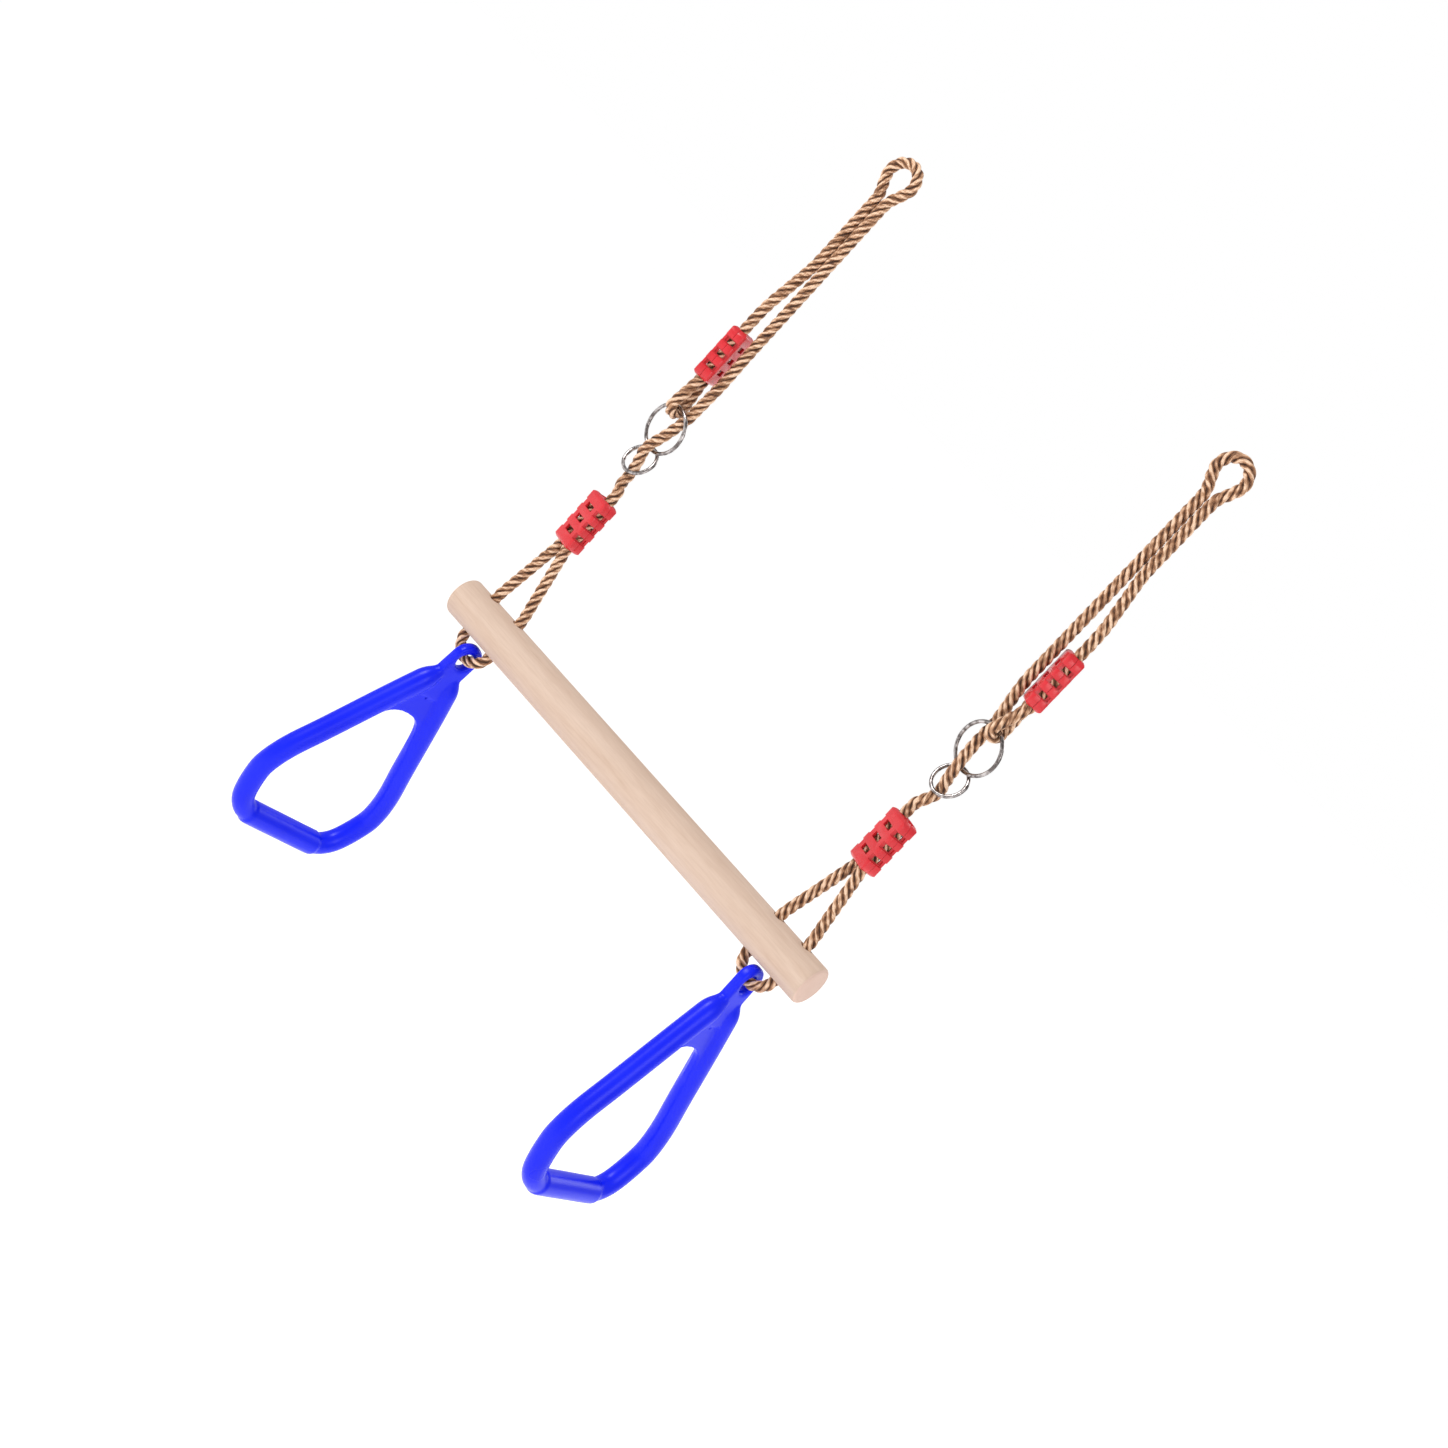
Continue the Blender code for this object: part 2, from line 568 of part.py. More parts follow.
def build():
    global PARTS, CUTTERS
    clear_scene()
    PARTS = new_collection("trapeze with rings")
    CUTTERS = new_collection("cutters")
    wood = make_material("bar wood", (0.72, 0.52, 0.38), 0.55)
    rope = make_material("twisted rope", (0.42, 0.25, 0.13), 0.8)
    steel = make_material("polished steel", (0.75, 0.74, 0.76), 0.2, 1.0)
    red = make_material("red plastic", (0.80, 0.03, 0.045), 0.3)
    blue = make_material("blue plastic", (0.01, 0.02, 0.85), 0.3)
    wooden_bar(wood)
    half = clamp_half_mesh()
    for name, values in SIDES.items():
        side = Side(name, values)
        hanging_loop(side, rope)
        standing_rope(side, rope)
        eye_rope(side, rope)
        long_leg(side, rope)
        short_leg(side, rope)
        bar_loop(side, rope)
        steel_ring(f"{name}_big_steel_ring", side.big_centre, side.across, side.big_up,
                   BIG_RING_RADIUS, 32, steel)
        steel_ring(f"{name}_small_steel_ring", side.small_centre, side.across, side.small_up,
                   SMALL_RING_RADIUS, 28, steel)
        clamp(f"{name}_lower_clamp", half, side.lower_centre, LOWER_CLAMP_HEIGHT, side.lower_yaw, red)
        clamp(f"{name}_upper_clamp", half, side.upper_centre, UPPER_CLAMP_HEIGHT, side.upper_yaw, red)
        plastic_ring(side, blue)


build()
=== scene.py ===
import math

import bmesh
import bpy
import numpy as np
from mathutils import Matrix


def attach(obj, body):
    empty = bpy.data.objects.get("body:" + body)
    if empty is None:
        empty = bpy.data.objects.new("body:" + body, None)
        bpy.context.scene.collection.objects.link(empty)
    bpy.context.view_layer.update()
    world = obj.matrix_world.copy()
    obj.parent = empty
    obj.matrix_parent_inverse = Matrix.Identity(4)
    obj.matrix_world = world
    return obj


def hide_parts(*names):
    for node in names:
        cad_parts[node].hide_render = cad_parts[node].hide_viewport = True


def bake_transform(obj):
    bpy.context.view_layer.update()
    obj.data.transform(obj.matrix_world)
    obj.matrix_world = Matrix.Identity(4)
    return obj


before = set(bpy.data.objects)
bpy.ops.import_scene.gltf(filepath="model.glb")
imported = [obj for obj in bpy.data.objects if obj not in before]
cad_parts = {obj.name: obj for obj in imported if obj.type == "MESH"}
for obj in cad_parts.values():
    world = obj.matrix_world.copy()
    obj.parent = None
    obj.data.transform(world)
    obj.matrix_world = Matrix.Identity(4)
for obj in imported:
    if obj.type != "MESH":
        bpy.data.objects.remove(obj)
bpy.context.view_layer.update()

# Everything is in metres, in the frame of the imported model: Z up, the hanging line at zero
trapeze = dict(barHeight=-0.489, ropeSpan=0.368, neckDrop=0.041, barLength=0.450, barDiameter=0.035,
               holeSpacing=0.032, gap=0.0003)

sideTurns = {
    "left": dict(sign=-1, lowerClampYaw=-24, upperClampYaw=13.6, ringYaw=13, ringLean=6, ropeHand=1),
    "right": dict(sign=1, lowerClampYaw=-34, upperClampYaw=31.1, ringYaw=4, ringLean=2.2, ropeHand=-1),
}


def vector(x, y, z):
    return np.array([x, y, z], dtype=float)


def level(height):
    # heights are given above the bar's axis
    return trapeze["barHeight"] + height


def linked(name, data):
    # a new object for the data, in the scene
    made = bpy.data.objects.new(name, data)
    bpy.context.scene.collection.objects.link(made)
    return made


def aimed(thing, across, upward, outward, place):
    # a camera or lamp that looks against outward: its three axes and its place are the columns of its matrix
    matrix = np.eye(4)
    matrix[:3] = np.stack([across, upward, outward, place], axis=1)
    thing.matrix_world = Matrix(matrix)
    return thing


# Camera

cameraView = dict(target=(0.0250, 0.0, -0.4032), azimuth=25.43, elevation=8.776, distance=2.0222, lens=65.60,
                  sensor=36.0, roll=43.12, farthest=50.0)


def makeCamera(view):
    # the camera stands on a sphere round the target, looks at it, and is rolled about its own axis
    azimuth, elevation = math.radians(view["azimuth"]), math.radians(view["elevation"])
    outward = vector(math.sin(azimuth) * math.cos(elevation), -math.cos(azimuth) * math.cos(elevation),
                     math.sin(elevation))
    place = np.array(view["target"]) + view["distance"] * outward
    across = np.cross(-outward, (0, 0, 1))
    across /= np.linalg.norm(across)
    upward = np.cross(across, -outward)
    turn = math.radians(view["roll"])
    rolledAcross = across * math.cos(turn) + upward * math.sin(turn)
    rolledUp = upward * math.cos(turn) - across * math.sin(turn)
    data = bpy.data.cameras.new("camera")
    data.lens = view["lens"]
    data.sensor_width = view["sensor"]
    data.clip_end = view["farthest"]
    bpy.context.scene.camera = aimed(linked("camera", data), rolledAcross, rolledUp, outward, place)


makeCamera(cameraView)
print("camera ready")

# Mesh helpers


def meshFrom(name, points, faces):
    # a mesh object from an array of points and an array or list of faces, linked to the scene
    mesh = bpy.data.meshes.new(name)
    mesh.from_pydata(np.asarray(points).reshape(-1, 3).tolist(), [],
                     faces.tolist() if hasattr(faces, "tolist") else faces)
    mesh.update()
    return linked(name, mesh)


def gridFaces(rows, columns, closedRows=False, closedColumns=True):
    # quads between neighbouring rows and columns of a grid numbered row by row
    i = np.arange(rows if closedRows else rows - 1)[:, None]
    j = np.arange(columns if closedColumns else columns - 1)[None, :]
    here, nextRow = i * columns, ((i + 1) % rows) * columns
    nextColumn = (j + 1) % columns
    return np.stack([here + j, here + nextColumn, nextRow + nextColumn, nextRow + j], axis=-1).reshape(-1, 4)


def tubeMesh(name, rings):
    # a closed tube: rings is stations x points x 3, each ring joined to the next and both ends closed by one face
    rows, columns = rings.shape[:2]
    faces = gridFaces(rows, columns).tolist()
    faces.append(list(range(columns))[::-1])
    faces.append([(rows - 1) * columns + k for k in range(columns)])
    return meshFrom(name, rings, faces)


def smooth(piece, sharpDegrees=None):
    # smooth shading, with edges sharper than the given angle kept crisp
    piece.data.shade_smooth()
    if sharpDegrees:
        piece.data.set_sharp_from_angle(angle=math.radians(sharpDegrees))
    return piece


def faceOutwards(piece):
    # doubles are merged, every face turned outwards and end caps split in triangles
    work = bmesh.new()
    work.from_mesh(piece.data)
    bmesh.ops.remove_doubles(work, verts=work.verts, dist=0.000001)
    bmesh.ops.recalc_face_normals(work, faces=work.faces)
    bmesh.ops.triangulate(work, faces=[face for face in work.faces if len(face.verts) > 4])
    work.to_mesh(piece.data)
    work.free()
    return piece


def settle(piece):
    # the piece's modifiers become its mesh
    bpy.context.view_layer.update()
    graph = bpy.context.evaluated_depsgraph_get()
    mesh = bpy.data.meshes.new_from_object(piece.evaluated_get(graph))
    piece.modifiers.clear()
    piece.data = mesh


def discard(piece):
    bpy.data.objects.remove(piece, do_unlink=True)


def cut(piece, cutter, operation="DIFFERENCE"):
    # the piece without the cutter, or joined to it, or only where both are; the cutter goes
    step = piece.modifiers.new("cut", "BOOLEAN")
    step.operation = operation
    step.solver = "EXACT"
    step.object = cutter
    settle(piece)
    discard(cutter)


def placed(piece, turn, place):
    # the mesh itself is turned by a 3 x 3 matrix and moved; the object stays at the origin
    points = np.empty(len(piece.data.vertices) * 3)
    piece.data.vertices.foreach_get("co", points)
    points = points.reshape(-1, 3) @ np.asarray(turn).T + np.asarray(place)
    piece.data.vertices.foreach_set("co", points.ravel())
    piece.data.update()


def smoothPath(points, pieces):
    # Catmull-Rom curve through the points: each stretch is a cubic whose end slopes are half the chord between the
    # neighbours of each end
    p = np.asarray(points, dtype=float)
    p = np.vstack([2 * p[0] - p[1], p, 2 * p[-1] - p[-2]])
    a, b, c, d = (p[k:len(p) - 3 + k, None, :] for k in range(4))
    t = (np.arange(pieces) / pieces)[None, :, None]
    curve = 0.5 * (2 * b + (c - a) * t + (2 * a - 5 * b + 4 * c - d) * t ** 2 + (3 * b - a - 3 * c + d) * t ** 3)
    return np.vstack([curve.reshape(-1, 3), p[-2]])


def evenPath(path, spacing):
    # the same line with points at equal distances along it, and those distances
    walked = np.concatenate([[0], np.cumsum(np.linalg.norm(np.diff(path, axis=0), axis=1))])
    along = np.linspace(0, walked[-1], int(round(walked[-1] / spacing)) + 1)
    return np.stack([np.interp(along, walked, path[:, k]) for k in range(3)], axis=1), along


def pathFrames(path, first):
    # two directions square to the path, carried along it without twisting about it
    tangent = np.gradient(path, axis=0)
    tangent /= np.linalg.norm(tangent, axis=1)[:, None]
    side = np.empty_like(path)
    carried = np.asarray(first, dtype=float)
    for k, along in enumerate(tangent):
        carried = carried - along * carried.dot(along)
        carried = carried / np.linalg.norm(carried)
        side[k] = carried
    return side, np.cross(tangent, side)


# Places of one side, worked out as in the solid model

fittings = dict(wireRadius=0.0016, bigRadius=0.0205, bigHeight=0.2125, smallRadius=0.014, smallHeight=0.1805,
                ringOut=0.0055, ringYaw=-12, wireClearance=0.0005, eyeOut=0.0035, threadIn=0.0075)
clampShape = dict(length=0.050, wall=0.0018, face=0.0024, corner=0.0030, ribReach=0.0018, windowPitch=0.0120,
                  windowWidth=0.0112, windowHeight=0.0050, ropePlay=0.0004, tailInset=0.005,
                  notchDepth=0.0036, notchHeight=0.0058, endRound=0.0065, edge=0.0007, edgeSteps=3,
                  lowerHeight=0.114, lowerOut=0.0033, lowerTravel=0.008,
                  upperHeight=0.286, upperOut=0.0112, upperTravel=0.020)
rope = dict(radius=0.00475, loopRadius=0.0135, tiltHeight=0.023, foldHeight=0.1555, foldOut=0.0015,
            meetHeight=0.385, pairHeight=0.410, legHeights=(0.400, 0.350, 0.300), threadHeight=0.270,
            clampMouth=0.006, barMouth=0.012, bendReach=0.009, tiltReach=0.0045,
            lay=0.031, strandShare=0.44, spacing=0.0011, strandPoints=9, stepsBetween=10, routeEvery=3)


def sidePlaces(turns):
    # the points and directions that ropes, rings and clamps of one side share
    sign, r = turns["sign"], rope["radius"]
    f, c = fittings, clampShape
    yaw = math.radians(f["ringYaw"])
    across = vector(math.cos(yaw), math.sin(yaw), 0)
    behind = vector(-math.sin(yaw), math.cos(yaw), 0)
    weave = (r + f["wireRadius"] + trapeze["gap"]) / 2
    lineX = sign * trapeze["ropeSpan"] / 2
    legOffset = r + trapeze["gap"] / 2
    ringX = lineX + sign * f["ringOut"]
    bigTilt = math.asin(weave / f["bigRadius"])
    bigUp = vector(0, 0, math.cos(bigTilt)) - behind * math.sin(bigTilt)
    bigCentre = vector(ringX, 0, level(f["bigHeight"]))
    smallBack = weave + 2 * f["wireRadius"] + f["wireClearance"]
    smallTilt = math.asin((smallBack + weave) / (2 * f["smallRadius"]))
    smallUp = vector(0, 0, math.cos(smallTilt)) + behind * math.sin(smallTilt)
    smallCentre = vector(ringX, 0, level(f["smallHeight"])) + behind * (smallBack - weave) / 2
    channelRadius = r + c["ropePlay"]
    channel = channelRadius + trapeze["gap"] / 2
    lowerYaw = math.radians(turns["lowerClampYaw"])
    lowerAcross = vector(math.cos(lowerYaw), math.sin(lowerYaw), 0)
    lowerInner = vector(lineX + sign * c["lowerOut"] - sign * channel * lowerAcross[0], 0, 0)
    lowerCentre = lowerInner + sign * channel * lowerAcross
    upperYaw = math.radians(turns["upperClampYaw"])
    upperAcross = vector(math.sin(upperYaw), -math.cos(upperYaw), 0)
    upperCentre = vector(lineX + sign * c["upperOut"], 0, 0)
    lean, ringYaw = sign * math.radians(turns["ringLean"]), math.radians(turns["ringYaw"])
    upwards = vector(-math.sin(lean), 0, math.cos(lean))
    width = vector(math.sin(ringYaw), math.cos(ringYaw), 0)
    width -= upwards * width.dot(upwards)
    width /= np.linalg.norm(width)
    return dict(sign=sign, lineX=lineX, innerLegX=lineX - sign * legOffset, outerLegX=lineX + sign * legOffset,
                legOffset=legOffset, across=across, behind=behind, weave=weave, ringX=ringX, bigUp=bigUp,
                bigCentre=bigCentre, smallUp=smallUp, smallCentre=smallCentre,
                lowerAcross=lowerAcross, lowerInner=lowerInner, lowerCentre=lowerCentre,
                lowerOuter=lowerCentre + sign * channel * lowerAcross, upperAcross=upperAcross,
                upperCentre=upperCentre, upperFront=upperCentre + channel * upperAcross,
                upperBack=upperCentre - channel * upperAcross,
                innerHoleX=lineX - sign * trapeze["holeSpacing"] / 2,
                outerHoleX=lineX + sign * trapeze["holeSpacing"] / 2,
                fold=vector(lineX + sign * rope["foldOut"], 0, level(rope["foldHeight"])),
                ringPivot=vector(lineX, 0, level(-trapeze["barDiameter"] / 2 - trapeze["holeSpacing"] / 2)),
                ringTurn=np.stack([width, np.cross(upwards, width), upwards], axis=1))


def atHeight(place, height):
    # the place moved up or down to a height above the bar's axis
    return vector(place[0], place[1], level(height))


def eased(start, end, share):
    # between two points, leaving the first and reaching the second along Z
    across = share * share * (3 - 2 * share)
    place = start + (end - start) * across
    place[2] = start[2] + (end[2] - start[2]) * share
    return place


def bigWire(p, lateral):
    # a point of the big ring's upper half: the rise at a distance x to the side is sqrt(R^2 - x^2)
    rise = math.sqrt(fittings["bigRadius"] ** 2 - lateral ** 2)
    return p["bigCentre"] + p["across"] * lateral + p["bigUp"] * rise


# Ropes
# One rope on each side runs from its tail in the upper clamp, round the big ring, up over the hanging loop, down
# through both rings and the lower clamp, through the bar and back up into the lower clamp.


def ropeRoute(p):
    # route points in order, and the places where the rope is divided into its three pieces
    c, f, r, sign = clampShape, fittings, rope["radius"], p["sign"]
    mouth, meet, inner, outer = rope["clampMouth"], rope["meetHeight"], p["innerLegX"], p["outerLegX"]
    neck = -trapeze["neckDrop"]
    top = c["upperHeight"] + c["length"] / 2
    bottom = c["upperHeight"] - c["length"] / 2
    clear = top + c["upperTravel"] + 0.001
    wire = bigWire(p, sign * f["eyeOut"])
    reach = r + f["wireRadius"] + trapeze["gap"] + 0.0001
    turn = [wire - p["behind"] * reach * math.cos(a) - vector(0, 0, reach * math.sin(a))
            for a in np.radians([180, 144, 108, 72, 36, 0])]
    up = [atHeight(p["upperBack"], top - c["tailInset"]), atHeight(p["upperBack"], (top + bottom) / 2),
          atHeight(p["upperBack"], bottom + mouth), atHeight(p["upperBack"], bottom)]
    down = [atHeight(p["upperFront"], bottom), atHeight(p["upperFront"], bottom + mouth),
            atHeight(p["upperFront"], (top + bottom) / 2), atHeight(p["upperFront"], clear)]
    points = up + [eased(up[-1], turn[0], 0.4)] + turn + [eased(down[0], turn[-1], 0.4)] + down
    front = p["upperFront"]
    points += [vector(0.45 * outer + 0.55 * front[0], 0.55 * front[1], level((meet + clear) / 2)),
               vector(outer + sign * 0.0003, -0.0003, level(meet)),
               vector(outer, 0, level(rope["pairHeight"])), vector(outer, 0, neck - 0.003)]
    low, middle, bow = neck + r, r - rope["loopRadius"], 0.7 * rope["loopRadius"]
    half = [(p["legOffset"], low), (p["legOffset"] * 1.2, low + 0.3 * (middle - low)),
            (0.8 * rope["loopRadius"], low + 0.68 * (middle - low)), (rope["loopRadius"], middle),
            (bow, middle + bow)]
    loop = half + [(0, r)] + [(-x, z) for x, z in reversed(half)]
    points += [vector(p["lineX"] + sign * x, 0, z) for x, z in loop]
    points += [vector(inner, 0, neck - 0.003)]
    points += [vector(inner, 0, level(height)) for height in rope["legHeights"]]
    divide1 = len(points) - 1
    behindBig = bigWire(p, -sign * f["threadIn"]) + p["behind"] * 2 * p["weave"]
    threadX = p["ringX"] - sign * 0.001
    front = vector(threadX, 0, level(f["bigHeight"] - f["bigRadius"])) - p["behind"] * p["weave"]
    back = vector(threadX, 0, level(f["smallHeight"] - 0.93 * f["smallRadius"])) + p["behind"] * p["weave"]
    between = (behindBig + front) / 2 - p["across"] * sign * 0.001
    points += [vector(inner, 0.0010, level(rope["threadHeight"])),
               behindBig + vector(0.3 * (inner - behindBig[0]), -0.0001, 0.010), behindBig, between,
               front, (front + back) / 2, back, p["fold"]]
    top = c["lowerHeight"] + c["length"] / 2
    bottom = c["lowerHeight"] - c["length"] / 2
    points += [atHeight(p["lowerInner"], top + c["lowerTravel"]), atHeight(p["lowerInner"], (top + bottom) / 2)]
    divide2 = len(points) - 1
    legIn, legOut = atHeight(p["lowerInner"], bottom), atHeight(p["lowerOuter"], bottom)
    holeIn = vector(p["innerHoleX"], 0, level(rope["tiltHeight"]))
    holeOut = vector(p["outerHoleX"], 0, level(rope["tiltHeight"]))
    points += [atHeight(p["lowerInner"], bottom + mouth), legIn]
    points += [legIn + (holeIn - legIn) * k for k in (0.3, 0.65)]
    under = trapeze["barDiameter"] / 2
    points += [holeIn, vector(p["innerHoleX"], 0, level(rope["barMouth"])), vector(p["innerHoleX"], 0, level(0)),
               vector(p["innerHoleX"], 0, level(-under + 0.004))]
    angles = np.radians(np.linspace(180, 360, 11))
    points += [vector(p["lineX"] - sign * trapeze["holeSpacing"] / 2 * -math.cos(a), 0,
                      level(-under) + trapeze["holeSpacing"] / 2 * math.sin(a)) for a in angles]
    points += [vector(p["outerHoleX"], 0, level(-under + 0.004)), vector(p["outerHoleX"], 0, level(0)),
               vector(p["outerHoleX"], 0, level(rope["barMouth"])), holeOut]
    points += [legOut + (holeOut - legOut) * k for k in (0.65, 0.3)]
    points += [legOut, atHeight(p["lowerOuter"], bottom + mouth), atHeight(p["lowerOuter"], (top + bottom) / 2),
               atHeight(p["lowerOuter"], top - c["tailInset"])]
    return np.array(points), divide1, divide2


def ropeSurface(name, path, along, side, other, hand):
    # Four strands laid round each other: the section's radius at an angle d from a strand's middle is
    # o cos d + sqrt(r^2 - o^2 sin^2 d), with r the strand's radius and o its distance from the rope's middle, and
    # the section turns once in each lay
    per = rope["strandPoints"]
    strand = rope["strandShare"] * rope["radius"]
    offset = rope["radius"] - strand
    share = np.arange(4 * per) / per
    d = (share % 1 - 0.5) * math.pi / 2
    radius = offset * np.cos(d) + np.sqrt(strand ** 2 - (offset * np.sin(d)) ** 2)
    angle = share[None, :] * math.pi / 2 + hand * 2 * math.pi * along[:, None] / rope["lay"]
    rings = (path[:, None, :] + radius[None, :, None] * (np.cos(angle)[..., None] * side[:, None, :]
                                                         + np.sin(angle)[..., None] * other[:, None, :]))
    piece = tubeMesh(name, rings)
    rows, columns = rings.shape[:2]
    layer = piece.data.uv_layers.new(name="strands")
    j = np.arange(columns)
    u = np.broadcast_to(np.stack([j, j + 1, j + 1, j], axis=-1) / per, (rows - 1, columns, 4))
    v = along[:, None, None] + np.zeros((rows, columns, 1))
    v = np.concatenate([v[:-1], v[:-1], v[1:], v[1:]], axis=-1)
    corners = np.stack([u, v * 100], axis=-1).reshape(-1, 2)
    ends = np.zeros((2 * columns, 2))
    ends[:, 0] = 0.5
    layer.data.foreach_set("uv", np.vstack([corners, ends]).ravel())
    return smooth(piece)


def makeRopes(name, turns, p):
    # one route is divided into three pieces, each of which crosses one bend of the ropes
    points, divide1, divide2 = ropeRoute(p)
    steps, every = rope["stepsBetween"], rope["routeEvery"]
    curve = smoothPath(points, steps)
    path, along = evenPath(curve, rope["spacing"])
    walked = np.concatenate([[0], np.cumsum(np.linalg.norm(np.diff(curve, axis=0), axis=1))])
    cuts = [int(np.argmin(abs(along - walked[k * steps]))) for k in (divide1, divide2)]
    side, other = pathFrames(path, p["across"])
    nodes = dict(loop=["eye_rope", "hanging_loop", "standing_rope"], thread=["long_leg"],
                 foot=["short_leg", "bar_loop"])
    spans = dict(loop=(0, cuts[0] + 1), thread=(cuts[0], cuts[1] + 1), foot=(cuts[1], len(path)))
    made = []
    for part, (start, stop) in spans.items():
        piece = ropeSurface(f"{name}_{part}_rope", path[start:stop], along[start:stop], side[start:stop],
                            other[start:stop], turns["ropeHand"])
        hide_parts(*[f"{name}_{node}" for node in nodes[part]])
        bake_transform(piece)
        route = path[start:stop:every]
        route = np.vstack([route, path[stop - 1]]) if (stop - 1 - start) % every else route
        made.append(piece)
    return made


sides = {name: sidePlaces(turns) for name, turns in sideTurns.items()}
ropePieces = [piece for name, turns in sideTurns.items() for piece in makeRopes(name, turns, sides[name])]
print("ropes ready")

# Wooden bar

bar = dict(edge=0.003, holeChamfer=0.0007, around=96, stations=90, edgeSteps=7, holeAround=40)


def makeBar():
    # a profile of distance and radius turned about X: straight, with a quarter circle at each end
    half, r, e = trapeze["barLength"] / 2, trapeze["barDiameter"] / 2, bar["edge"]
    a = np.linspace(0, math.pi / 2, bar["edgeSteps"])
    endX, endR = half - e + e * np.sin(a), r - e + e * np.cos(a)
    x = np.concatenate([-endX[::-1], np.linspace(-half + e, half - e, bar["stations"])[1:-1], endX])
    radius = np.concatenate([endR[::-1], np.full(bar["stations"] - 2, r), endR])
    angle = np.linspace(0, 2 * math.pi, bar["around"], endpoint=False)
    rings = np.stack([np.broadcast_to(x[:, None], (len(x), len(angle))),
                      radius[:, None] * np.cos(angle), radius[:, None] * np.sin(angle) + level(0)], axis=-1)
    piece = tubeMesh("wooden_bar", rings)
    # each hole is a profile turned about Z, wider at both mouths
    hole = rope["radius"] + clampShape["ropePlay"]
    flare = bar["holeChamfer"]
    z = np.array([-1.3 * r, -r - 0.0002, -r + flare, r - flare, r + 0.0002, 1.3 * r])
    wide = hole + np.array([flare, flare, 0, 0, flare, flare])
    turn = np.linspace(0, 2 * math.pi, bar["holeAround"], endpoint=False)
    for p in sides.values():
        for holeX in (p["innerHoleX"], p["outerHoleX"]):
            rings = np.stack([holeX + wide[:, None] * np.cos(turn), wide[:, None] * np.sin(turn),
                              np.broadcast_to(level(0) + z[:, None], (len(z), len(turn)))], axis=-1)
            cut(piece, faceOutwards(tubeMesh("hole", rings)))
    return smooth(faceOutwards(piece), 40)


barPiece = makeBar()
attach(barPiece, "bar")
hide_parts("trapeze_bar")
print("bar ready")

# Steel rings

wireRing = dict(around=14, along=110, weldAngle=0.35, weldSwell=0.00012, weldLength=0.0022)


def makeWireRing(name, centre, across, up, radius):
    # a circle of wire: a small circle carried round a large one, a little thicker at the weld
    n = np.cross(across, up)
    a = np.linspace(0, 2 * math.pi, wireRing["along"], endpoint=False)
    b = np.linspace(0, 2 * math.pi, wireRing["around"], endpoint=False)
    out = np.cos(a)[:, None] * across + np.sin(a)[:, None] * up
    fromWeld = np.abs((a - wireRing["weldAngle"] + math.pi) % (2 * math.pi) - math.pi) * radius
    thick = fittings["wireRadius"] + wireRing["weldSwell"] * np.exp(-(fromWeld / wireRing["weldLength"]) ** 2)
    rings = (centre + radius * out[:, None, :] + thick[:, None, None]
             * (np.cos(b)[None, :, None] * out[:, None, :] + np.sin(b)[None, :, None] * n))
    return smooth(faceOutwards(meshFrom(name, rings, gridFaces(len(a), len(b), True))))


steelPieces = []
for name, p in sides.items():
    for size, radius in (("big", fittings["bigRadius"]), ("small", fittings["smallRadius"])):
        piece = makeWireRing(f"{name}_{size}_wire_ring", p[f"{size}Centre"], p["across"], p[f"{size}Up"],
                             radius)
        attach(piece, f"{name}_{size}_ring")
        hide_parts(f"{name}_{size}_steel_ring")
        steelPieces.append(piece)
print("steel rings ready")

# Rope clamps


def arcPoints(centre, radius, start, stop, steps):
    # points at equal angles, in degrees, along an arc
    a = np.radians(np.linspace(start, stop, steps + 1))
    return np.stack([centre[0] + radius * np.cos(a), centre[1] + radius * np.sin(a)], axis=1)


def blockMesh(centre, size):
    # a box from its centre and its three sides
    corners = np.array([(x, y, z) for x in (-0.5, 0.5) for y in (-0.5, 0.5) for z in (-0.5, 0.5)])
    faces = [(0, 1, 3, 2), (4, 6, 7, 5), (0, 4, 5, 1), (2, 3, 7, 6), (0, 2, 6, 4), (1, 5, 7, 3)]
    return meshFrom("block", corners * np.asarray(size) + np.asarray(centre), faces)


def joined(pieces, name):
    # several separate closed meshes as one object
    points, faces, start = [], [], 0
    for piece in pieces:
        points += [tuple(v.co) for v in piece.data.vertices]
        faces += [tuple(start + k for k in face.vertices) for face in piece.data.polygons]
        start = len(points)
        discard(piece)
    return meshFrom(name, points, faces)


